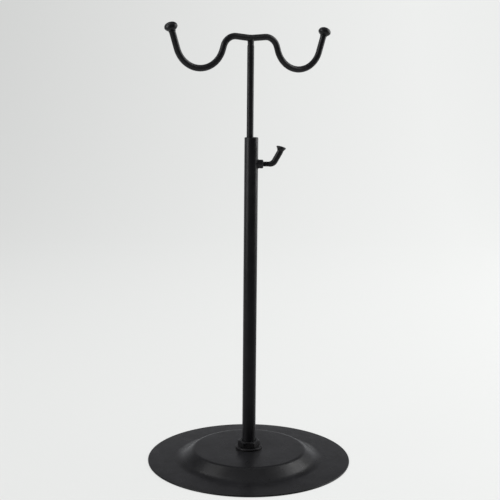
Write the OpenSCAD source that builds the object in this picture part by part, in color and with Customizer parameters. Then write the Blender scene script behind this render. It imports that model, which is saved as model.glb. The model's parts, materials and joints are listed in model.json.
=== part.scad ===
// Double-hook display stand: a pressed round base, a tube post, a sliding rod with a
// bent-wire double hook on top, and a hook-shaped clamp screw. Millimetres, +Z up.
// The origin is on the surface that the base stands on, on the post's axis.
// The double hook lies in the XZ plane.

/* [Base] */
// Diameter of the base plate
base_d = 200; // [180:5:220]
// Thickness of the base's pressed sheet
sheet_t = 1.6; // [1.2:0.1:2]
// Height of the raised centre above the table
dome_h = 11.2; // [10.8:0.1:13]
// Diameter of the flat top of the raised centre
dome_d = 106; // [90:1:110]
// Width of the slope between the flat top and the outer ring
slope_w = 21; // [17:0.5:24]
// Angle of the slope's straight part above the horizontal
slope_angle = 35; // [28:1:48]
// Radius of the slope's upper edge, outside the sheet
dome_edge_r = 7; // [4:0.5:8]

/* [Post] */
// Outer diameter of the post
tube_d = 13.2; // [12.8:0.1:13.6]
// Wall thickness of the post
tube_wall = 1.85; // [1.5:0.05:1.9]
// Height of the post's open top above the table
tube_top = 319; // [305:1:322]

/* [Foot nuts] */
// Width across flats of the two foot nuts
foot_nut_af = 19; // [18:0.5:22]
// Height of the nut above the base
upper_nut_h = 6; // [5:0.5:9]
// Height of the nut under the base
lower_nut_h = 5; // [4:0.5:5.5]
// Diameter of the two washers
washer_d = 26; // [24:0.5:30]
// Thickness of the two washers
washer_t = 2; // [1.5:0.1:2]

/* [Clamp] */
// Height of the clamp screw's axis above the table
clamp_h = 293.8; // [280:0.2:298]
// Direction of the clamp screw, seen from above
clamp_dir = -30; // [-35:1:35]
// Width across flats of the nut welded to the post
clamp_nut_af = 8; // [7:0.5:9]
// Length of that nut, from the post's surface outwards
clamp_nut_len = 5; // [4:0.5:6]
// Diameter of the screw's threaded shank
screw_d = 5; // [4:0.1:5]
// Diameter of the screw's bent arm
arm_d = 5.8; // [5.2:0.1:6]
// Distance from the post's axis to the corner of the bend
arm_corner = 20.8; // [19.4:0.2:23]
// Centreline radius of the bend
arm_bend_r = 6; // [4:0.1:6.5]
// Angle of the arm above the horizontal
arm_rise = 61; // [50:1:66]
// Length of the arm's straight part
arm_len = 9.2; // [8:0.2:12]
// Angle that the arm turns upwards again, just below its tip
arm_end_turn = 14; // [10:1:20]
// Diameter of the flared tip
arm_tip_d = 9.4; // [8:0.2:10]

/* [Sliding rod] */
// Diameter of the sliding rod
rod_d = 6.5; // [6:0.1:6.6]
// Length of the sliding rod
rod_len = 288; // [260:2:288]
// Distance that the clamp screw pushes the rod off the post's axis
rod_offset = 1.35; // [1.1:0.05:1.35]

/* [Double hook] */
// Diameter of the hook's wire
wire_d = 6; // [5.4:0.1:6.2]
// Height of the wire's centreline over the rod
hook_h = 411.6; // [400:0.2:425]
// Angle at which each side climbs away from the rod
crown_rise = 5; // [3:0.5:8]
// Distance from the rod to the outer end of that climb
crown_len = 15.5; // [14:0.5:18]
// Centreline radius of the bend on each shoulder
shoulder_r = 12.7; // [10:0.1:14]
// Lean of the inner legs from the vertical
inner_lean = 17.8; // [15:0.2:22]
// Length of the straight part of an inner leg
inner_len = 4.1; // [2:0.1:8]
// Centreline radius of each hook's valley
valley_r = 24.5; // [22:0.5:27]
// Lean of the outer legs from the vertical
outer_lean = 17.4; // [14:0.2:22]
// Length of the straight part of an outer leg
outer_len = 15.6; // [12:0.2:20]
// Diameter of the knobs on the ends
knob_d = 12.2; // [11:0.2:13]
// Height of the knobs, measured along the wire
knob_h = 8.8; // [8:0.2:10]

/* [Hidden] */
$fn = 96;

// Gap between a part and the hole it goes through
running_gap = 0.05;
// Gap left between bodies that move past each other
body_gap = 0.2;
// Extra length that takes a cutter past the faces it cuts
over = 1;
// Distance by which a nut's turned profile clears the nut's corners
corner_clear = 0.01;

// Base: the slope's upper and lower edges are arcs, and the two radii together are set by the
// slope's width, rise and angle
ring_r = dome_d / 2 + slope_w;
slope_rise = dome_h - sheet_t;
edge_radii = (slope_w * tan(slope_angle) - slope_rise) / (1 / cos(slope_angle) - 1);
foot_edge_r = edge_radii - dome_edge_r;
arc_steps = 24;

// Foot hardware, stacked above and below the sheet
upper_washer_z = dome_h;
upper_nut_z = dome_h + washer_t;
lower_washer_z = dome_h - sheet_t - washer_t;
lower_nut_z = lower_washer_z - lower_nut_h;
tube_below_nut = 0.8;
tube_foot_z = lower_nut_z - tube_below_nut;
tube_chamfer = 0.5;
foot_hole_clearance = 0.4;
foot_hole_d = tube_d + foot_hole_clearance;
foot_nut_bore = tube_d + 2 * running_gap;
nut_face_ratio = 0.97;
nut_chamfer_angle = 30;
countersink = 0.7;

// Clamp
clamp_hole_clearance = 0.6;
clamp_hole_d = screw_d + clamp_hole_clearance;
clamp_nut_bore = screw_d + 2 * running_gap;
clamp_nut_chamfer = 0.7;
screw_inner_end = rod_d / 2 - rod_offset + body_gap;
arm_tangent = arm_bend_r * tan(arm_rise / 2);
arm_stub = 0.2;
screw_outer_end = arm_corner - arm_tangent - arm_stub;
arm_end_r = 6;
arm_tip_h = 4.6;
arm_tip_cone_h = 2.8;
arm_tip_rim_h = 0.9;

// Rod
rod_top = hook_h - wire_d / 2 - running_gap;
rod_chamfer = 0.5;
weld_inset = 0.1;

// Knobs
knob_neck_step = 0.4;
knob_neck_d = wire_d + 2 * knob_neck_step;

// Each straight length of wire runs this far into the bends at its ends, and is this much
// thinner than them, so that the two join inside the bend
wire_lap = 0.3;
wire_step = 0.04;

// Share of a knob's height that its conical underside takes, and share that its rim takes
knob_cone_share = 0.42;
knob_rim_share = 0.1;

// One side of the double hook, from the rod outwards. A run is a straight length of wire.
// A bend has a radius and a turn, positive upwards.
saddle_len = 1.5;
hook_path = [
    ["run", saddle_len],
    ["bend", shoulder_r, crown_rise],
    ["run", crown_len - saddle_len - shoulder_r * sin(crown_rise)],
    ["bend", shoulder_r, inner_lean - 90 - crown_rise],
    ["run", inner_len],
    ["bend", valley_r, 180 - inner_lean - outer_lean],
    ["run", outer_len]
];

// Point [x, z] and heading at the end of a path's first count steps
function path_end(path, count) =
    count == 0 ? [0, 0, 0] : step_end(path_end(path, count - 1), path[count - 1]);

// Point [x, z] and heading after one more step
function step_end(at, step) =
    step[0] == "run"
        ? [at[0] + step[1] * cos(at[2]), at[1] + step[1] * sin(at[2]), at[2]]
        : let (
            side = sign(step[2]),
            turned = at[2] + step[2]
        ) [
            at[0] + side * step[1] * (sin(turned) - sin(at[2])),
            at[1] - side * step[1] * (cos(turned) - cos(at[2])),
            turned
        ];

hook_end = path_end(hook_path, len(hook_path));

// The screw's bent arm, from the shank outwards
arm_path = [
    ["run", arm_stub - running_gap],
    ["bend", arm_bend_r, arm_rise],
    ["run", arm_len],
    ["bend", arm_end_r, arm_end_turn]
];
arm_end = path_end(arm_path, len(arm_path));

// Points along an arc about centre, of radius r, from angle a0 to angle a1
function arc_points(centre, r, a0, a1) = [
    for (i = [0:arc_steps])
        let (a = a0 + (a1 - a0) * i / arc_steps)
            centre + r * [cos(a), sin(a)]
];

// Places children on the post's side, with +X along the clamp screw
module at_clamp() {
    translate([0, 0, clamp_h])
        rotate([0, 0, clamp_dir])
            children();
}

// Places children on the rod's axis
module at_rod() {
    rotate([0, 0, clamp_dir])
        translate([-rod_offset, 0, 0])
            rotate([0, 0, -clamp_dir])
                children();
}

// A torus segment of wire that starts at the origin along +X and turns in the XZ plane
module wire_bend(d, r, turn) {
    side = sign(turn);
    translate([0, 0, side * r])
        rotate([90, 0, 0])
            rotate_extrude(angle = abs(turn), start = side > 0 ? -90 : 90 - abs(turn))
                translate([r, 0])
                    circle(d = d);
}

// A straight length of wire that starts at the origin along +X
module wire_run(d, length) {
    rotate([0, 90, 0])
        cylinder(d = d, h = length);
}

// The same, joined to a bend at its start, at its end or at both
module lapped_run(d, length, at_start, at_end) {
    start = at_start ? -wire_lap : 0;
    end = at_end ? length + wire_lap : length;
    translate([start, 0, 0])
        wire_run(d - wire_step, end - start);
}

// A bent wire that follows a path of runs and bends
module bent_wire(path, d) {
    for (i = [0:len(path) - 1]) {
        at = path_end(path, i);
        translate([at[0], 0, at[1]])
            rotate([0, -at[2], 0])
                if (path[i][0] == "run")
                    lapped_run(d, path[i][1], i > 0, i < len(path) - 1);
                else
                    wire_bend(d, path[i][1], path[i][2]);
    }
}

// A hex nut on +Z, chamfered at both ends and countersunk round its bore
module hex_nut(af, h, bore) {
    corner_d = af / cos(30);
    face_r = af * nut_face_ratio / 2;
    chamfer_h = (corner_d / 2 - face_r) * tan(nut_chamfer_angle);
    difference() {
        intersection() {
            cylinder(d = corner_d, h = h, $fn = 6);
            rotate_extrude()
                polygon([
                    [0, 0],
                    [face_r, 0],
                    [corner_d / 2 + corner_clear, chamfer_h],
                    [corner_d / 2 + corner_clear, h - chamfer_h],
                    [face_r, h],
                    [0, h]
                ]);
        }
        translate([0, 0, -over])
            cylinder(d = bore, h = h + 2 * over);
        translate([0, 0, h - countersink])
            cylinder(d1 = bore, d2 = bore + 2 * countersink, h = countersink);
    }
}

// A head on +Z: a cone that widens from its neck, a straight rim and a domed top
module mushroom(neck_d, head_d, cone_h, rim_h, h) {
    cap_h = h - cone_h - rim_h;
    cap_r = (pow(head_d / 2, 2) + pow(cap_h, 2)) / (2 * cap_h);
    rotate_extrude()
        intersection() {
            polygon([
                [0, 0],
                [neck_d / 2, 0],
                [head_d / 2, cone_h],
                [head_d / 2, h],
                [0, h]
            ]);
            translate([0, h - cap_r])
                circle(r = cap_r);
        }
}

// A plain washer on +Z
module washer(d, bore, t) {
    difference() {
        cylinder(d = d, h = t);
        translate([0, 0, -over])
            cylinder(d = bore, h = t + 2 * over);
    }
}

module base_plate() {
    dome_r = dome_d / 2;
    upper_c = [dome_r, dome_h - dome_edge_r];
    lower_c = [ring_r, sheet_t + foot_edge_r];
    outer_face = concat(
        arc_points(upper_c, dome_edge_r, 90, 90 - slope_angle),
        arc_points(lower_c, foot_edge_r, 270 - slope_angle, 270)
    );
    inner_face = concat(
        arc_points(lower_c, foot_edge_r + sheet_t, 270, 270 - slope_angle),
        arc_points(upper_c, dome_edge_r - sheet_t, 90 - slope_angle, 90)
    );
    rim_r = sheet_t / 2;
    color("dimgray")
        rotate_extrude($fn = 180)
            polygon(concat(
                [[foot_hole_d / 2, dome_h]],
                outer_face,
                arc_points([base_d / 2 - rim_r, rim_r], rim_r, 90, -90),
                inner_face,
                [[foot_hole_d / 2, dome_h - sheet_t]]
            ));
}

module post_tube() {
    outer_r = tube_d / 2;
    inner_r = outer_r - tube_wall;
    color("black")
        difference() {
            rotate_extrude()
                polygon([
                    [inner_r, tube_foot_z],
                    [outer_r - tube_chamfer, tube_foot_z],
                    [outer_r, tube_foot_z + tube_chamfer],
                    [outer_r, tube_top - tube_chamfer],
                    [outer_r - tube_chamfer, tube_top],
                    [inner_r, tube_top]
                ]);
            at_clamp()
                rotate([0, 90, 0])
                    cylinder(d = clamp_hole_d, h = tube_d);
        }
}

module upper_washer() {
    color("black")
        translate([0, 0, upper_washer_z])
            washer(washer_d, foot_hole_d, washer_t);
}

module upper_nut() {
    color("black")
        translate([0, 0, upper_nut_z])
            rotate([0, 0, clamp_dir])
                hex_nut(foot_nut_af, upper_nut_h, foot_nut_bore);
}

module lower_washer() {
    color("gray")
        translate([0, 0, lower_washer_z])
            washer(washer_d, foot_hole_d, washer_t);
}

module lower_nut() {
    color("gray")
        translate([0, 0, lower_nut_z])
            hex_nut(foot_nut_af, lower_nut_h, foot_nut_bore);
}

module clamp_nut() {
    corner_d = clamp_nut_af / cos(30);
    nut_end = tube_d / 2 + clamp_nut_len;
    color("black")
        difference() {
            at_clamp()
                rotate([0, 90, 0])
                    intersection() {
                        rotate([0, 0, 30])
                            cylinder(d = corner_d, h = nut_end, $fn = 6);
                        rotate_extrude()
                            polygon([
                                [0, 0],
                                [corner_d / 2 + corner_clear, 0],
                                [corner_d / 2 + corner_clear, nut_end - clamp_nut_chamfer],
                                [corner_d / 2 - 2 * clamp_nut_chamfer, nut_end],
                                [0, nut_end]
                            ]);
                    }
            translate([0, 0, clamp_h - clamp_nut_af])
                cylinder(d = tube_d + 2 * running_gap, h = 2 * clamp_nut_af);
            at_clamp()
                rotate([0, 90, 0])
                    cylinder(d = clamp_nut_bore, h = nut_end + over);
        }
}

module clamp_screw() {
    color("black")
        at_clamp()
            translate([screw_inner_end, 0, 0])
                wire_run(screw_d, screw_outer_end - screw_inner_end);
}

// Places children where the screw's bent arm starts, with +X along the clamp screw
module at_arm() {
    at_clamp()
        translate([screw_outer_end + running_gap, 0, 0])
            children();
}

module clamp_arm() {
    color("black")
        at_arm()
            bent_wire(arm_path, arm_d);
}

module clamp_arm_tip() {
    color("black")
        at_arm()
            translate([arm_end[0], 0, arm_end[1]])
                rotate([0, 90 - arm_end[2], 0])
                    mushroom(arm_d, arm_tip_d, arm_tip_cone_h, arm_tip_rim_h, arm_tip_h);
}

module slide_rod() {
    color("black")
        at_rod()
            translate([0, 0, rod_top - rod_len])
                rotate_extrude()
                    polygon([
                        [0, 0],
                        [rod_d / 2 - rod_chamfer, 0],
                        [rod_d / 2, rod_chamfer],
                        [rod_d / 2, rod_len - rod_chamfer],
                        [rod_d / 2 - rod_chamfer, rod_len],
                        [0, rod_len]
                    ]);
}

module double_hook() {
    color("black")
        at_rod()
            translate([0, 0, hook_h]) {
                for (side = [0, 1])
                    mirror([side, 0, 0])
                        bent_wire(hook_path, wire_d);
                // The weld that joins the wire to the rod's chamfered end
                translate([0, 0, -wire_d / 2])
                    cylinder(d = rod_d - 2 * (rod_chamfer + weld_inset), h = wire_d / 2);
            }
}

module knob() {
    translate([hook_end[0], 0, hook_h + hook_end[1]])
        rotate([0, outer_lean, 0])
            mushroom(knob_neck_d, knob_d, knob_cone_share * knob_h, knob_rim_share * knob_h, knob_h);
}

module left_knob() {
    color("black")
        at_rod()
            mirror([1, 0, 0])
                knob();
}

module right_knob() {
    color("black")
        at_rod()
            knob();
}

base_plate();
post_tube();
upper_washer();
upper_nut();
lower_washer();
lower_nut();
clamp_nut();
clamp_screw();
clamp_arm();
clamp_arm_tip();
slide_rod();
double_hook();
left_knob();
right_knob();
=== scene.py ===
import json
import math

import bmesh
import bpy
from mathutils import Matrix, Vector


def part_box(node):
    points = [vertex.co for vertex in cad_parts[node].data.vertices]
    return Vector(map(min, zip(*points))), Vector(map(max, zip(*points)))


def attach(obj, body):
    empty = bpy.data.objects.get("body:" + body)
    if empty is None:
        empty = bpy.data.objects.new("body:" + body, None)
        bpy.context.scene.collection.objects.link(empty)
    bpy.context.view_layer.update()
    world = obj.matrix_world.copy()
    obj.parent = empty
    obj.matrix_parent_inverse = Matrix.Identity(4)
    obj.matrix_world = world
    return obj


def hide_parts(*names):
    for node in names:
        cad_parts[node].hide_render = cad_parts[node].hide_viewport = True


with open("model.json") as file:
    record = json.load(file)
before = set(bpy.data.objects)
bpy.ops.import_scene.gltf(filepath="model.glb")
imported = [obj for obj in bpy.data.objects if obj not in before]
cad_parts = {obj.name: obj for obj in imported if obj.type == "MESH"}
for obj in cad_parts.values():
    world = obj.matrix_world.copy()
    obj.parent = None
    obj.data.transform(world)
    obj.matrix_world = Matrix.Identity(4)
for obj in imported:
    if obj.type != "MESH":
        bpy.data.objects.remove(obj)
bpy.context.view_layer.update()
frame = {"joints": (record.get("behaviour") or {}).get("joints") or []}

# The looks of a double-hook display stand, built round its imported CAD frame. Metres, +Z up,
# with the origin on the surface that the stand stands on, on the post's axis.
MM = 0.001
RUNNING_GAP = 0.05 * MM


# ---------------------------------------------------------------- studio: camera, lights, floor

# The studio is turned about Z by this angle against the stand, so that the camera looks along
# the studio's +Y. Its positions are metres from the stand's origin.
STUDIO_TURN = math.radians(-30)
STUDIO = Matrix.Rotation(STUDIO_TURN, 4, "Z")

CAMERA_AT = Vector((0.001, -1.0016, 0.3757))
CAMERA_LENS_MM = 75.65
CAMERA_DOWN = math.radians(9.36)
CAMERA_PAN = math.radians(0.08)
CAMERA_ROLL = math.radians(0.5)

# Colours against height: 0 is straight down, 0.5 the horizon and 1 straight up
ROOM_IN_FRONT = [
    (0.0, (0.75, 0.75, 0.75)),
    (0.25, (0.65, 0.65, 0.65)),
    (0.34, (0.27, 0.27, 0.27)),
    (0.41, (0.09, 0.09, 0.09)),
    (0.5, (0.05, 0.05, 0.052)),
    (0.84, (0.06, 0.06, 0.063)),
    (1.0, (0.35, 0.35, 0.36)),
]
BACKDROP = [
    (0.0, (0.75, 0.76, 0.77)),
    (0.50, (0.70, 0.71, 0.73)),
    (0.565, (0.34, 0.35, 0.36)),
    (0.66, (0.40, 0.40, 0.415)),
    (0.685, (0.21, 0.21, 0.22)),
    (0.71, (0.12, 0.12, 0.125)),
    (0.80, (0.08, 0.08, 0.084)),
    (0.88, (0.08, 0.08, 0.084)),
    (1.0, (0.35, 0.35, 0.36)),
]
SEEN_BACKDROP = (0.80, 0.82, 0.82)


def make_camera():
    data = bpy.data.cameras.new("camera")
    data.lens = CAMERA_LENS_MM
    camera = bpy.data.objects.new("camera", data)
    bpy.context.scene.collection.objects.link(camera)
    pan = Matrix.Rotation(CAMERA_PAN, 4, "Z")
    pitch = Matrix.Rotation(math.pi / 2 - CAMERA_DOWN, 4, "X")
    roll = Matrix.Rotation(CAMERA_ROLL, 4, "Z")
    camera.matrix_world = STUDIO @ Matrix.Translation(CAMERA_AT) @ pan @ pitch @ roll
    bpy.context.scene.camera = camera


def make_softbox(name, place, aim, size, watts, reflected=True):
    """An area light at a place in the studio that shines at another place."""
    data = bpy.data.lights.new(name, "AREA")
    data.shape = "RECTANGLE"
    data.size, data.size_y = size
    data.energy = watts
    lamp = bpy.data.objects.new(name, data)
    bpy.context.scene.collection.objects.link(lamp)
    turn = (Vector(aim) - Vector(place)).to_track_quat("-Z", "Y").to_matrix().to_4x4()
    lamp.matrix_world = STUDIO @ Matrix.Translation(place) @ turn
    lamp.visible_glossy = reflected


def ramp_of(tree, factor, stops):
    """A colour ramp with its stops given as (position, colour)."""
    ramp = tree.nodes.new("ShaderNodeValToRGB")
    elements = ramp.color_ramp.elements
    for i, (position, colour) in enumerate(stops):
        stop = elements[i] if i < 2 else elements.new(position)
        stop.position = position
        stop.color = (*colour, 1)
    tree.links.new(factor, ramp.inputs["Fac"])
    return ramp.outputs["Color"]


def make_world():
    """The room that the stand reflects: a backdrop behind it that is brightest low down and
    darkens upwards, and a dark room on the camera's side with a pale floor and a grey ceiling.
    The camera itself sees a pale backdrop everywhere."""
    world = bpy.data.worlds.new("studio")
    bpy.context.scene.world = world
    world.use_nodes = True
    tree = world.node_tree
    tree.nodes.clear()
    place = tree.nodes.new("ShaderNodeTexCoord")
    split = tree.nodes.new("ShaderNodeSeparateXYZ")
    tree.links.new(place.outputs["Generated"], split.inputs[0])
    height = tree.nodes.new("ShaderNodeMapRange")
    height.inputs["From Min"].default_value = -1
    tree.links.new(split.outputs["Z"], height.inputs["Value"])
    depth = tree.nodes.new("ShaderNodeVectorMath")
    depth.operation = "DOT_PRODUCT"
    depth.inputs[1].default_value = STUDIO @ Vector((0, 1, 0))
    tree.links.new(place.outputs["Generated"], depth.inputs[0])
    behind = tree.nodes.new("ShaderNodeMapRange")
    behind.interpolation_type = "SMOOTHSTEP"
    behind.inputs["From Min"].default_value = -0.1
    behind.inputs["From Max"].default_value = 0.8
    tree.links.new(depth.outputs["Value"], behind.inputs["Value"])
    room = tree.nodes.new("ShaderNodeMix")
    room.data_type = "RGBA"
    tree.links.new(behind.outputs["Result"], room.inputs[0])
    tree.links.new(ramp_of(tree, height.outputs["Result"], ROOM_IN_FRONT), room.inputs[6])
    tree.links.new(ramp_of(tree, height.outputs["Result"], BACKDROP), room.inputs[7])
    seen = tree.nodes.new("ShaderNodeLightPath")
    colour = tree.nodes.new("ShaderNodeMix")
    colour.data_type = "RGBA"
    colour.inputs[7].default_value = (*SEEN_BACKDROP, 1)
    tree.links.new(seen.outputs["Is Camera Ray"], colour.inputs[0])
    tree.links.new(room.outputs[2], colour.inputs[6])
    light = tree.nodes.new("ShaderNodeBackground")
    tree.links.new(colour.outputs[2], light.inputs["Color"])
    out = tree.nodes.new("ShaderNodeOutputWorld")
    tree.links.new(light.outputs[0], out.inputs["Surface"])


def make_sweep():
    """The pale floor, which curves up into a wall behind the stand. Its brightness is mostly
    painted
    light: it glows, more to the right, like paper that is lit from all round and more from the
    right."""
    half_width, front, wall_at, bend, wall_top = 8.0, -12.0, 2.4, 1.1, 5.0
    steps = 24
    section = [(front, 0.0)]
    for i in range(steps + 1):
        a = math.pi / 2 * i / steps
        section.append((wall_at - bend + bend * math.sin(a), bend - bend * math.cos(a)))
    section.append((wall_at, wall_top))
    points = [(side * half_width, y, z) for y, z in section for side in (-1, 1)]
    faces = [(2 * i, 2 * i + 1, 2 * i + 3, 2 * i + 2) for i in range(len(section) - 1)]
    mesh = bpy.data.meshes.new("sweep")
    mesh.from_pydata(points, [], faces)
    mesh.shade_smooth()
    mat = bpy.data.materials.new("sweep_paper")
    mat.use_nodes = True
    tree = mat.node_tree
    shader = tree.nodes["Principled BSDF"]
    shader.inputs["Base Color"].default_value = (0.10, 0.102, 0.10, 1)
    shader.inputs["Emission Color"].default_value = (0.99, 1, 0.99, 1)
    shader.inputs["Roughness"].default_value = 0.9
    shader.inputs["Specular IOR Level"].default_value = 0.1
    place = tree.nodes.new("ShaderNodeTexCoord")
    split = tree.nodes.new("ShaderNodeSeparateXYZ")
    tree.links.new(place.outputs["Object"], split.inputs[0])
    # Painted light: the paper's emission rises towards +X, so its right side looks more brightly
    # lit
    glow = tree.nodes.new("ShaderNodeMapRange")
    glow.inputs["From Min"].default_value = -0.8
    glow.inputs["From Max"].default_value = 0.5
    glow.inputs["To Min"].default_value = 0.575
    glow.inputs["To Max"].default_value = 0.765
    tree.links.new(split.outputs["X"], glow.inputs["Value"])
    tree.links.new(glow.outputs["Result"], shader.inputs["Emission Strength"])
    mesh.materials.append(mat)
    sweep = bpy.data.objects.new("sweep", mesh)
    bpy.context.scene.collection.objects.link(sweep)
    sweep.matrix_world = STUDIO
    sweep.visible_glossy = False


make_camera()
make_world()
make_sweep()
make_softbox("left_softbox", (-1.2, -0.5, 0.75), (0, 0, 0.25), (0.85, 1.2), 13)
make_softbox("right_softbox", (1.24, 0.38, 0.75), (0, 0, 0.25), (1.3, 1.2), 16)
make_softbox("top_softbox", (0, 0.1, 1.9), (0, 0.1, 0), (2.2, 1.6), 24, False)
make_softbox("left_glow", (-0.77, 0.40, 1.34), (0, 0, 0), (0.5, 0.5), 2.0)
make_softbox("right_glow", (0.83, 0.51, 1.27), (0, 0, 0), (0.45, 0.45), 1.1)
make_softbox("backdrop_softbox", (0.5, 1.4, 1.9), (0.2, 2.1, 0.3), (1.8, 0.8), 12, False)
bpy.context.scene.view_settings.view_transform = "Standard"


# ---------------------------------------------------------------- materials


def new_material(name):
    mat = bpy.data.materials.new(name)
    mat.use_nodes = True
    tree = mat.node_tree
    return mat, tree, tree.nodes["Principled BSDF"]


def noise(tree, scale, detail=3.0, rough=0.5):
    """A noise texture that is fixed to the piece, with scale in waves per metre."""
    place = tree.nodes.new("ShaderNodeTexCoord")
    texture = tree.nodes.new("ShaderNodeTexNoise")
    texture.inputs["Scale"].default_value = scale
    texture.inputs["Detail"].default_value = detail
    texture.inputs["Roughness"].default_value = rough
    tree.links.new(place.outputs["Object"], texture.inputs["Vector"])
    return texture.outputs["Fac"]


def tones(tree, factor, dark, light, low=0.3, high=0.7):
    """A colour between dark and light, as factor goes from low to high."""
    return ramp_of(tree, factor, [(low, dark), (high, light)])


def span(tree, factor, low, high):
    """A number between low and high, as factor goes from 0.3 to 0.7."""
    node = tree.nodes.new("ShaderNodeMapRange")
    node.inputs["From Min"].default_value = 0.3
    node.inputs["From Max"].default_value = 0.7
    node.inputs["To Min"].default_value = low
    node.inputs["To Max"].default_value = high
    tree.links.new(factor, node.inputs["Value"])
    return node.outputs["Result"]


def bump(tree, height, depth, under=None):
    """A bump of that depth in metres, on top of another bump's normal if one is given."""
    node = tree.nodes.new("ShaderNodeBump")
    node.inputs["Distance"].default_value = depth
    tree.links.new(height, node.inputs["Height"])
    if under is not None:
        tree.links.new(under, node.inputs["Normal"])
    return node.outputs["Normal"]


def powder_coat(name, dark, light, rough_low, rough_high, specular):
    """Satin powder coat: near black, faintly clouded, with orange peel and a fine grain."""
    mat, tree, shader = new_material(name)
    cloud = noise(tree, 55, 4)
    tree.links.new(tones(tree, cloud, dark, light), shader.inputs["Base Color"])
    patches = noise(tree, 140, 3)
    tree.links.new(span(tree, patches, rough_low, rough_high), shader.inputs["Roughness"])
    peel = bump(tree, noise(tree, 620, 2), 0.045 * MM)
    grain = bump(tree, noise(tree, 2600, 2), 0.012 * MM, peel)
    tree.links.new(grain, shader.inputs["Normal"])
    shader.inputs["Specular IOR Level"].default_value = specular
    return mat


def steel(name, dark, light, rough_low, rough_high, metal):
    """Machined steel under a thin finish: faint turning marks, rubbed lighter in patches."""
    mat, tree, shader = new_material(name)
    rubbed = noise(tree, 260, 5, 0.6)
    tree.links.new(tones(tree, rubbed, dark, light, 0.35, 0.75), shader.inputs["Base Color"])
    patches = noise(tree, 480, 3)
    tree.links.new(span(tree, patches, rough_low, rough_high), shader.inputs["Roughness"])
    place = tree.nodes.new("ShaderNodeTexCoord")
    marks = tree.nodes.new("ShaderNodeTexWave")
    marks.bands_direction = "Z"
    marks.inputs["Scale"].default_value = 900
    marks.inputs["Distortion"].default_value = 2.5
    marks.inputs["Detail"].default_value = 2
    tree.links.new(place.outputs["Object"], marks.inputs["Vector"])
    turned = bump(tree, marks.outputs["Fac"], 0.01 * MM)
    pitted = bump(tree, noise(tree, 1500, 3), 0.02 * MM, turned)
    tree.links.new(pitted, shader.inputs["Normal"])
    shader.inputs["Metallic"].default_value = metal
    shader.inputs["Specular IOR Level"].default_value = 0.13
    return mat


BASE_COAT = powder_coat(
    "base_coat", dark=(0.006, 0.006, 0.0065), light=(0.010, 0.010, 0.011),
    rough_low=0.27, rough_high=0.35, specular=0.2,
)
BLACK_COAT = powder_coat(
    "black_coat", dark=(0.005, 0.005, 0.006), light=(0.009, 0.009, 0.010),
    rough_low=0.30, rough_high=0.40, specular=0.25,
)
BLACK_STEEL = steel(
    "black_steel", dark=(0.008, 0.008, 0.009), light=(0.024, 0.023, 0.024),
    rough_low=0.32, rough_high=0.48, metal=0.25,
)
ZINC_STEEL = steel(
    "zinc_steel", dark=(0.36, 0.38, 0.41), light=(0.56, 0.58, 0.62),
    rough_low=0.24, rough_high=0.42, metal=1.0,
)


# ---------------------------------------------------------------- mesh helpers

MERGE_WITHIN = 0.0005 * MM


def make_piece(name, points, faces, body, slot, material, replaces=(), sharp=35):
    """A smooth closed mesh that rides on a body and stands for CAD nodes."""
    mesh = bpy.data.meshes.new(name)
    shape = bmesh.new()
    made = [shape.verts.new(p) for p in points]
    for face in faces:
        shape.faces.new([made[i] for i in face])
    bmesh.ops.remove_doubles(shape, verts=shape.verts, dist=MERGE_WITHIN)
    bmesh.ops.recalc_face_normals(shape, faces=shape.faces)
    shape.to_mesh(mesh)
    shape.free()
    mesh.shade_smooth()
    mesh.set_sharp_from_angle(angle=math.radians(sharp))
    mesh.materials.append(material)
    piece = bpy.data.objects.new(name, mesh)
    bpy.context.scene.collection.objects.link(piece)
    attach(piece, body)
    if replaces:
        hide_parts(*replaces)
    return piece


def rounded(corners, steps=5):
    """An outline with its corners, each (x, y, radius), turned into arcs."""
    outline = []
    for i, (x, y, radius) in enumerate(corners):
        here = Vector((x, y))
        if radius == 0:
            outline.append(here)
            continue
        back = (Vector(corners[i - 1][:2]) - here).normalized()
        ahead = (Vector(corners[(i + 1) % len(corners)][:2]) - here).normalized()
        half = back.angle(ahead) / 2
        centre = here + (back + ahead).normalized() * radius / math.sin(half)
        start = here + back * radius / math.tan(half) - centre
        turn = start.angle_signed(here + ahead * radius / math.tan(half) - centre)
        for k in range(steps + 1):
            a = -turn * k / steps
            c, s = math.cos(a), math.sin(a)
            outline.append(centre + Vector((start.x * c - start.y * s, start.x * s + start.y * c)))
    return outline


def loft(rings, closed_along=False):
    """Points and faces of a skin over rings of equal length. Open ends get a cap."""
    count = len(rings[0])
    points = [p for ring in rings for p in ring]
    faces = []
    last = len(rings) if closed_along else len(rings) - 1
    for i in range(last):
        a, b = i * count, (i + 1) % len(rings) * count
        for j in range(count):
            k = (j + 1) % count
            faces.append((a + j, a + k, b + k, b + j))
    if not closed_along:
        faces.append(tuple(range(count)))
        faces.append(tuple(range(len(points) - count, len(points))))
    return points, faces


def lathe(outline, segments):
    """A skin over an outline of (radius, height) pairs turned round Z. An outline that ends on
    the axis gets a point there; any other is a closed section."""
    on_axis = [abs(p[0]) < 1e-9 for p in outline]
    points, starts = [], []
    for (radius, height), pole in zip(outline, on_axis):
        starts.append(len(points))
        for j in range(1 if pole else segments):
            a = 2 * math.pi * j / segments
            points.append(Vector((radius * math.cos(a), radius * math.sin(a), height)))
    faces = []
    pairs = len(outline) - 1 if any(on_axis) else len(outline)
    for i in range(pairs):
        n = (i + 1) % len(outline)
        for j in range(segments):
            k = (j + 1) % segments
            ring = [starts[i]] if on_axis[i] else [starts[i] + j, starts[i] + k]
            ring += [starts[n]] if on_axis[n] else [starts[n] + k, starts[n] + j]
            if len(ring) > 2:
                faces.append(tuple(ring))
    return points, faces


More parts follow.
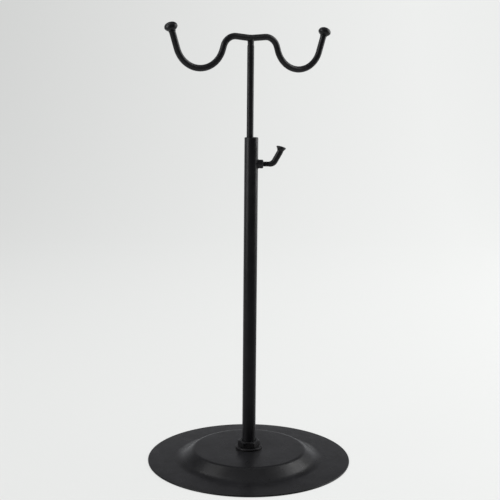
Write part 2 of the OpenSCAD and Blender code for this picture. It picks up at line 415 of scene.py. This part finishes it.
def follow(steps):
    """Points (x, z, heading) along runs ("run", length) and bends ("bend", radius, turn) from
    the origin, heading along +X. A positive turn bends upwards; headings are radians."""
    run_gap, arc_gap = 3 * MM, 0.5 * MM
    x, z, heading = 0.0, 0.0, 0.0
    path = [(x, z, heading)]
    for step in steps:
        if step[0] == "run":
            count = max(1, round(step[1] / run_gap))
            for _ in range(count):
                x += step[1] / count * math.cos(heading)
                z += step[1] / count * math.sin(heading)
                path.append((x, z, heading))
            continue
        radius, turn = step[1], step[2]
        side = math.copysign(1, turn)
        count = max(6, round(radius * abs(turn) / arc_gap))
        for _ in range(count):
            ahead = heading + turn / count
            x += side * radius * (math.sin(ahead) - math.sin(heading))
            z -= side * radius * (math.cos(ahead) - math.cos(heading))
            heading = ahead
            path.append((x, z, heading))
    return path


def sweep_wire(path, radius, place, start_radius=None):
    """A round wire along a path in the XZ plane, moved to its place. With a start radius, it
    thickens smoothly over the first third of the path."""
    sides = 40
    rings = []
    for i, (x, z, heading) in enumerate(path):
        r = radius
        if start_radius is not None:
            t = min(1, 3 * i / len(path))
            r = start_radius + (radius - start_radius) * t * t * (3 - 2 * t)
        ring = []
        for j in range(sides):
            a = 2 * math.pi * j / sides
            out = Vector((-math.sin(heading), 0, math.cos(heading))) * r * math.cos(a)
            ring.append(place @ (Vector((x, r * math.sin(a), z)) + out))
        rings.append(ring)
    return loft(rings)


def along(path_end, place):
    """The matrix that puts +Z along the wire at the end of its path."""
    x, z, heading = path_end
    return place @ Matrix.Translation((x, 0, z)) @ Matrix.Rotation(math.pi / 2 - heading, 4, "Y")


def moved(made, matrix):
    """A shape's points and faces, with its points moved by a matrix."""
    points, faces = made
    return [matrix @ p for p in points], faces


def spun(outline, angle):
    """An outline of (radius, height) points, stood up and turned about Z to an angle."""
    return [Vector((p.x * math.cos(angle), p.x * math.sin(angle), p.y)) for p in outline]


def hex_radius(angle, flats, corner_r):
    """Distance from the centre to the side of a hexagon with rounded corners, one at angle 0."""
    off = (angle + math.pi / 6) % (math.pi / 3) - math.pi / 6
    reach = (flats / 2 - corner_r) / math.cos(math.pi / 6)
    if abs(reach * math.sin(off)) < corner_r / 2:
        return reach * math.cos(off) + math.sqrt(corner_r**2 - (reach * math.sin(off)) ** 2)
    return flats / 2 / math.cos(math.pi / 6 - abs(off))


def hex_nut(flats, height, bore_r):
    """A nut on +Z with 30 degree chamfers, rounded edges and a countersunk bore."""
    segments = 144
    corner_r, edge_r, sink = 0.35 * MM, 0.18 * MM, 0.7 * MM
    face_r = 0.965 * flats / 2
    rings = []
    for j in range(segments):
        a = 2 * math.pi * j / segments
        side = hex_radius(a, flats, corner_r)
        drop = (side - face_r) * math.tan(math.radians(30))
        corners = [
            (bore_r, sink, edge_r),
            (bore_r + sink, 0, edge_r),
            (face_r, 0, edge_r),
            (side, drop, edge_r / 2),
            (side, height - drop, edge_r / 2),
            (face_r, height, edge_r),
            (bore_r + sink, height, edge_r),
            (bore_r, height - sink, edge_r),
        ]
        rings.append(spun(rounded(corners, 3), a))
    return loft(rings, closed_along=True)


def thread(core_r, crest_r, pitch, length, inner_r=0.0, segments=64):
    """A right-hand thread on +Z, on a sleeve or, where the inner radius is 0, on a solid rod.
    Its rows climb by one pitch a turn, so that each keeps one place on the thread's flank.
    Rows past an end are drawn back to it, and make_piece merges the points that then meet."""
    flank = [0.0, 0.12, 0.40, 0.68, 0.94, 1.0, 0.94, 0.68, 0.40, 0.12]
    rows = len(flank)
    last = (math.ceil(length / pitch) + 2) * rows
    turns = [2 * math.pi * j / segments for j in range(segments)]
    points = []
    for i in range(last + 1):
        for j, a in enumerate(turns):
            z = min(max((i / rows + j / segments - 1) * pitch, 0), length)
            fade = min(1, min(z, length - z) / (0.8 * pitch))
            r = core_r + (crest_r - core_r) * flank[i % rows] * fade
            points.append(Vector((r * math.cos(a), r * math.sin(a), z)))
    faces = []
    for i in range(last):
        for j in range(segments):
            k = (j + 1) % segments
            up = rows if k == 0 else 0
            if i + 1 + up <= last:
                low, high = i * segments, (i + 1) * segments
                faces.append((low + j, low + up * segments + k, high + up * segments + k, high + j))
    inner_low, inner_high = len(points), len(points) + segments
    for z in (0, length):
        points += [Vector((inner_r * math.cos(a), inner_r * math.sin(a), z)) for a in turns]
    bands = [(inner_low, 0), (last * segments, inner_high)]
    if inner_r > 0:
        bands.append((inner_high, inner_low))
    for low, high in bands:
        for j in range(segments):
            k = (j + 1) % segments
            faces.append((low + j, low + k, high + k, high + j))
    return points, faces


# ---------------------------------------------------------------- base

base_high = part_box("base_plate")[1]
post_low, post_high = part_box("post_tube")
base_r = base_high.x
dome_top = base_high.z
post_r = post_high.x

SHEET = 1.6 * MM
DOME_R = 53 * MM
SLOPE_WIDTH = 21 * MM
SLOPE_ANGLE = math.radians(35)
DOME_EDGE_R = 7 * MM
HOLE_EDGE_R = 0.3 * MM
RIM_EDGE_R = 0.7 * MM
POST_HOLE_GAP = 0.2 * MM


def base_outline():
    """The pressed sheet's section: a straight slope with an arc at each end carries it from
    the dome to the ring."""
    spare = SLOPE_WIDTH * math.tan(SLOPE_ANGLE) - (dome_top - SHEET)
    foot_edge_r = spare / (1 / math.cos(SLOPE_ANGLE) - 1) - DOME_EDGE_R
    reach = math.tan(SLOPE_ANGLE / 2)
    top_x = DOME_R + DOME_EDGE_R * reach
    foot_x = DOME_R + SLOPE_WIDTH - foot_edge_r * reach
    under = SHEET * reach
    hole = post_r + POST_HOLE_GAP
    return rounded(
        [
            (hole, dome_top, HOLE_EDGE_R),
            (top_x, dome_top, DOME_EDGE_R),
            (foot_x, SHEET, foot_edge_r),
            (base_r, SHEET, RIM_EDGE_R),
            (base_r, 0, RIM_EDGE_R),
            (foot_x - under, 0, foot_edge_r + SHEET),
            (top_x - under, dome_top - SHEET, DOME_EDGE_R - SHEET),
            (hole, dome_top - SHEET, HOLE_EDGE_R),
        ],
        16,
    )


make_piece(
    "base_shell", *lathe(base_outline(), 256), "stand", "base_coat", BASE_COAT, ["base_plate"], 60
)


# ---------------------------------------------------------------- post and its foot

POST_WALL = 1.85 * MM
CLAMP_HOLE_R = 2.8 * MM
FOOT_THREAD_PITCH = 1.0 * MM
FOOT_THREAD_DEPTH = 0.45 * MM
FOOT_THREAD_INSET = 0.3 * MM
FOOT_THREAD_SLEEVE = 0.4 * MM
THREAD_BELOW_NUT_TOP = 0.9 * MM
NUT_FLATS = 19 * MM
NUT_TURN = STUDIO_TURN

bore_r = post_r - POST_WALL
foot_r = post_r - FOOT_THREAD_DEPTH
thread_foot = post_low.z + FOOT_THREAD_INSET
thread_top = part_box("upper_nut")[1].z - THREAD_BELOW_NUT_TOP


def post_shape():
    """The tube, with its foot turned down for the thread."""
    outline = rounded(
        [
            (bore_r, post_low.z, 0.2 * MM),
            (foot_r, post_low.z, 0.25 * MM),
            (foot_r, thread_top - 0.3 * MM, 0),
            (post_r, thread_top, 0),
            (post_r, post_high.z, 0.75 * MM),
            (bore_r, post_high.z, 0.35 * MM),
        ]
    )
    return lathe(outline, 128)


clamp = next(j for j in frame["joints"] if j["name"] == "screw_turn")
clamp_axis = Vector(clamp["axis"])
clamp_z = clamp["pos_m"][2]
# Puts +X along the clamp screw, and +Z upwards
CLAMP_TURN = clamp_axis.to_track_quat("X", "Z").to_matrix().to_4x4()
AT_CLAMP = Matrix.Translation((0, 0, clamp_z)) @ CLAMP_TURN
# The same with +Z along the clamp screw
ALONG_CLAMP = AT_CLAMP @ Matrix.Rotation(math.pi / 2, 4, "Y")

post = make_piece("post", *post_shape(), "stand", "black_coat", BLACK_COAT, ["post_tube"])


def drill(piece, radius, length, place):
    """Cuts a round hole of that length on +Z through a piece."""
    mesh = bpy.data.meshes.new("drill")
    points, faces = moved(lathe([(0, 0), (radius, 0), (radius, length), (0, length)], 48), place)
    mesh.from_pydata(points, [], faces)
    tool = bpy.data.objects.new("drill", mesh)
    bpy.context.scene.collection.objects.link(tool)
    cut = piece.modifiers.new("hole", "BOOLEAN")
    cut.object = tool
    cut.operation = "DIFFERENCE"
    bpy.context.view_layer.update()
    cut_piece = piece.evaluated_get(bpy.context.evaluated_depsgraph_get())
    drilled = bpy.data.meshes.new_from_object(cut_piece)
    piece.modifiers.remove(cut)
    piece.data = drilled
    bpy.data.objects.remove(tool)


drill(post, CLAMP_HOLE_R, post_r * 1.2, ALONG_CLAMP)

post_thread = thread(
    core_r=foot_r - 0.05 * MM,
    crest_r=post_r - 0.02 * MM,
    pitch=FOOT_THREAD_PITCH,
    length=thread_top - thread_foot,
    inner_r=foot_r - FOOT_THREAD_SLEEVE,
)
make_piece(
    "post_thread", *moved(post_thread, Matrix.Translation((0, 0, thread_foot))),
    "stand", "black_steel", BLACK_STEEL,
)


def washer(node, name, slot, material):
    low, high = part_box(node)
    hole = post_r + POST_HOLE_GAP
    outline = rounded(
        [
            (hole, low.z, 0.15 * MM),
            (high.x, low.z, 0.25 * MM),
            (high.x, high.z, 0.6 * MM),
            (hole, high.z, 0.35 * MM),
        ]
    )
    make_piece(name, *lathe(outline, 128), "stand", slot, material, [node])


def foot_nut(node, name, turn, slot, material):
    low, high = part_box(node)
    place = Matrix.Translation((0, 0, low.z)) @ Matrix.Rotation(turn, 4, "Z")
    made = moved(hex_nut(NUT_FLATS, high.z - low.z, post_r + RUNNING_GAP), place)
    make_piece(name, *made, "stand", slot, material, [node], 50)


washer("upper_washer", "foot_washer", "black_steel", BLACK_STEEL)
washer("lower_washer", "under_washer", "zinc_steel", ZINC_STEEL)
foot_nut("upper_nut", "foot_nut", NUT_TURN, "black_steel", BLACK_STEEL)
foot_nut("lower_nut", "under_nut", 0.0, "zinc_steel", ZINC_STEEL)


# ---------------------------------------------------------------- clamp nut, screw and arm

CLAMP_FLATS = 8 * MM
CLAMP_NUT_END = post_r + 5 * MM
SHANK_R = 2.5 * MM
SHANK_PITCH = 0.8 * MM
SHANK_THREAD_DEPTH = 0.4 * MM
SHANK_INNER_END = 2.1 * MM
SHANK_IN_ARM = 0.4 * MM
ARM_R = 2.9 * MM
ARM_CORNER = 20.8 * MM
ARM_STUB = 0.2 * MM
ARM_BEND_R = 6 * MM
ARM_RISE = math.radians(61)
ARM_LENGTH = 9.2 * MM
ARM_END_R = 6 * MM
ARM_END_TURN = math.radians(14)
TIP_R = 4.7 * MM
TIP_HEIGHT = 4.6 * MM


def post_side(r, angle):
    """How far along the clamp's axis the post's side is, at that radius and angle about it."""
    return math.sqrt(post_r**2 - (r * math.sin(angle)) ** 2)


def clamp_nut_shape():
    """A nut whose inner end follows the post, with its outer end chamfered."""
    segments = 144
    sunk, sink = 0.1 * MM, 0.4 * MM
    bore = SHANK_R + RUNNING_GAP
    face_r = 0.42 * CLAMP_FLATS
    rings = []
    for j in range(segments):
        a = 2 * math.pi * j / segments
        side = hex_radius(a + math.pi / 6, CLAMP_FLATS, 0.4 * MM)
        drop = (side - face_r) * math.tan(math.radians(38))
        corners = [
            (bore, post_side(bore, a) - sunk, 0),
            (side, post_side(side, a) - sunk, 0),
            (side, CLAMP_NUT_END - drop, 0.15 * MM),
            (face_r, CLAMP_NUT_END, 0.2 * MM),
            (bore + sink, CLAMP_NUT_END, 0.1 * MM),
            (bore, CLAMP_NUT_END - sink, 0),
        ]
        rings.append(spun(rounded(corners, 3), a))
    return loft(rings, closed_along=True)


def clamp_weld_shape():
    """The weld bead round the nut's inner end, on the post's side. It swells and thins a
    little on its way round."""
    count, sides = 120, 14
    bead_r, bend_r = 0.45 * MM, 1.2 * MM
    off_nut, off_post = 0.1 * MM, 0.05 * MM
    up = Vector((0, 0, 1))
    rings = []
    for i in range(count):
        a = 2 * math.pi * i / count
        out = Vector((math.cos(a), math.sin(a), 0))
        r = hex_radius(a + math.pi / 6, CLAMP_FLATS, bend_r) + off_nut
        centre = out * r + up * (post_side(r, a) + off_post)
        bead = bead_r * (1 + 0.07 * math.sin(11 * a) + 0.05 * math.sin(17 * a + 1))
        ring = []
        for j in range(sides):
            b = 2 * math.pi * j / sides
            ring.append(centre + bead * (math.cos(b) * out + math.sin(b) * up))
        rings.append(ring)
    return loft(rings, closed_along=True)


make_piece(
    "clamp_nut_body", *moved(clamp_nut_shape(), ALONG_CLAMP),
    "stand", "black_coat", BLACK_COAT, ["clamp_nut"], 50,
)
make_piece(
    "clamp_nut_weld", *moved(clamp_weld_shape(), ALONG_CLAMP), "stand", "black_coat", BLACK_COAT
)

# The shank and the arm are one bent screw, so both turn with the arm's body
arm_start = ARM_CORNER - ARM_BEND_R * math.tan(ARM_RISE / 2) - ARM_STUB
shank = thread(
    core_r=SHANK_R - SHANK_THREAD_DEPTH,
    crest_r=SHANK_R,
    pitch=SHANK_PITCH,
    length=arm_start - SHANK_INNER_END + SHANK_IN_ARM,
    segments=48,
)
AT_SHANK = ALONG_CLAMP @ Matrix.Translation((0, 0, SHANK_INNER_END))
make_piece(
    "clamp_thread", *moved(shank, AT_SHANK),
    "screw_arm", "black_steel", BLACK_STEEL, ["clamp_screw"], 60,
)

arm_path = follow(
    [
        ("run", ARM_STUB),
        ("bend", ARM_BEND_R, ARM_RISE),
        ("run", ARM_LENGTH),
        ("bend", ARM_END_R, ARM_END_TURN),
    ]
)
AT_ARM = AT_CLAMP @ Matrix.Translation((arm_start, 0, 0))
make_piece(
    "clamp_arm_wire", *sweep_wire(arm_path, ARM_R, AT_ARM, start_radius=SHANK_R),
    "screw_arm", "black_coat", BLACK_COAT, ["clamp_arm"],
)


def arm_tip_outline():
    """A trumpet flare that ends in a rounded rim and a shallow dome."""
    flare = 2.6 * MM
    rim = 0.85 * MM
    rim_half_arc = math.radians(65)
    steps = 10
    mouth_r = TIP_R - rim * (1 - math.cos(rim_half_arc))
    rim_z = flare + rim * math.sin(rim_half_arc)
    spread_power = 1.15
    outline = [(0, 0)]
    for i in range(steps + 1):
        t = i / steps
        outline.append((ARM_R + (mouth_r - ARM_R) * t**spread_power, flare * t))
    for i in range(1, steps + 1):
        a = rim_half_arc * (2 * i / steps - 1)
        outline.append((TIP_R - rim * (1 - math.cos(a)), rim_z + rim * math.sin(a)))
    edge_r, edge_z = outline[-1]
    dome_h = TIP_HEIGHT - edge_z
    for i in range(1, steps):
        t = i / steps
        outline.append((edge_r * (1 - t), edge_z + dome_h * (1 - (1 - t) ** 2)))
    return outline + [(0, TIP_HEIGHT)]


make_piece(
    "clamp_arm_flare", *moved(lathe(arm_tip_outline(), 48), along(arm_path[-1], AT_ARM)),
    "screw_arm", "black_coat", BLACK_COAT, ["clamp_arm_tip"], 50,
)


# ---------------------------------------------------------------- sliding rod

rod_low, rod_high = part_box("slide_rod")
rod_axis = (rod_low + rod_high) / 2
rod_r = (rod_high.x - rod_low.x) / 2
ROD_NECK_R = 2.95 * MM
ROD_NECK_LENGTH = 4.5 * MM
ROD_NECK_TAPER = 1.2 * MM
ROD_NECK_BLEND_R = 2 * MM
neck_z = rod_high.z - ROD_NECK_LENGTH

rod_outline = rounded(
    [
        (0, rod_low.z, 0),
        (rod_r, rod_low.z, 0.5 * MM),
        (rod_r, neck_z, ROD_NECK_BLEND_R),
        (ROD_NECK_R, neck_z + ROD_NECK_TAPER, ROD_NECK_BLEND_R),
        (ROD_NECK_R, rod_high.z, 0.3 * MM),
        (0, rod_high.z, 0),
    ]
)
AT_ROD = Matrix.Translation((rod_axis.x, rod_axis.y, 0))
make_piece(
    "rod", *moved(lathe(rod_outline, 96), AT_ROD), "rod", "black_coat", BLACK_COAT, ["slide_rod"]
)


# ---------------------------------------------------------------- double hook and knobs

WIRE_R = 3 * MM
CROWN_RISE = math.radians(5)
CROWN_LENGTH = 15.5 * MM
SADDLE_LENGTH = 1.5 * MM
SHOULDER_R = 12.7 * MM
INNER_LEAN = math.radians(17.8)
INNER_LENGTH = 4.1 * MM
VALLEY_R = 24.5 * MM
OUTER_LEAN = math.radians(17.4)
OUTER_LENGTH = 15.6 * MM

half_path = follow(
    [
        ("run", SADDLE_LENGTH),
        ("bend", SHOULDER_R, CROWN_RISE),
        ("run", CROWN_LENGTH - SADDLE_LENGTH - SHOULDER_R * math.sin(CROWN_RISE)),
        ("bend", SHOULDER_R, INNER_LEAN - math.pi / 2 - CROWN_RISE),
        ("run", INNER_LENGTH),
        ("bend", VALLEY_R, math.pi - INNER_LEAN - OUTER_LEAN),
        ("run", OUTER_LENGTH),
    ]
)
hook_path = [(-x, z, -heading) for x, z, heading in reversed(half_path[1:])] + half_path
wire_z = rod_high.z + WIRE_R + RUNNING_GAP
AT_HOOK = Matrix.Translation((rod_axis.x, rod_axis.y, wire_z))
make_piece(
    "hook_wire", *sweep_wire(hook_path, WIRE_R, AT_HOOK),
    "hook_head", "black_coat", BLACK_COAT, ["double_hook"],
)


def hook_weld_shape():
    """The weld that spreads from the round rod into the wire on both sides."""
    steps, sides = 16, 48
    low, high = -WIRE_R - 1.9 * MM, -0.6 * MM
    neck_r = ROD_NECK_R + 0.04 * MM
    flare, pinch = 2.9 * MM, 0.35 * MM
    rings = []
    for i in range(steps + 1):
        t = i / steps
        z = low + (high - low) * t
        wide = neck_r + flare * (1 - math.sqrt(1 - (0.98 * t) ** 2))
        deep = neck_r - pinch * t
        ring = []
        for j in range(sides):
            a = 2 * math.pi * j / sides
            ring.append(Vector((wide * math.cos(a), deep * math.sin(a), z)))
        rings.append(ring)
    return loft(rings)


make_piece("hook_weld", *moved(hook_weld_shape(), AT_HOOK), "hook_head", "black_coat", BLACK_COAT)

KNOB_R = 6.1 * MM
KNOB_HEIGHT = 8.8 * MM
KNOB_WAIST = 4.2 * MM
KNOB_FULLNESS_BELOW = 1.7
KNOB_FULLNESS_ABOVE = 2.2
COLLAR_R = 3.4 * MM
COLLAR_HEIGHT = 1.0 * MM


def knob_outline():
    """A flattened ball that is fuller on top, on a short collar at the wire's end. Above and
    below its waist it is a superellipse."""
    steps = 14
    below, above = 2 / KNOB_FULLNESS_BELOW, 2 / KNOB_FULLNESS_ABOVE
    outline = rounded(
        [(0, 0, 0), (COLLAR_R, 0, 0.25 * MM), (COLLAR_R, COLLAR_HEIGHT, 0.3 * MM)], 4
    )
    for i in range(steps + 1):
        a = math.pi / 2 * (1 - i / steps)
        r = KNOB_R * math.cos(a) ** below
        if r > COLLAR_R * 0.96:
            outline.append((r, KNOB_WAIST * (1 - math.sin(a) ** below)))
    for i in range(1, steps):
        a = math.pi / 2 * i / steps
        rise = (KNOB_HEIGHT - KNOB_WAIST) * math.sin(a) ** above
        outline.append((KNOB_R * math.cos(a) ** above, KNOB_WAIST + rise))
    return outline + [(0, KNOB_HEIGHT)]


def knob(name, node, wire_end):
    made = moved(lathe(knob_outline(), 64), along(wire_end, AT_HOOK))
    make_piece(name, *made, "hook_head", "black_coat", BLACK_COAT, [node], 50)


end_x, end_z, end_heading = half_path[-1]
knob("right_ball", "right_knob", (end_x, end_z, end_heading))
knob("left_ball", "left_knob", (-end_x, end_z, math.pi - end_heading))
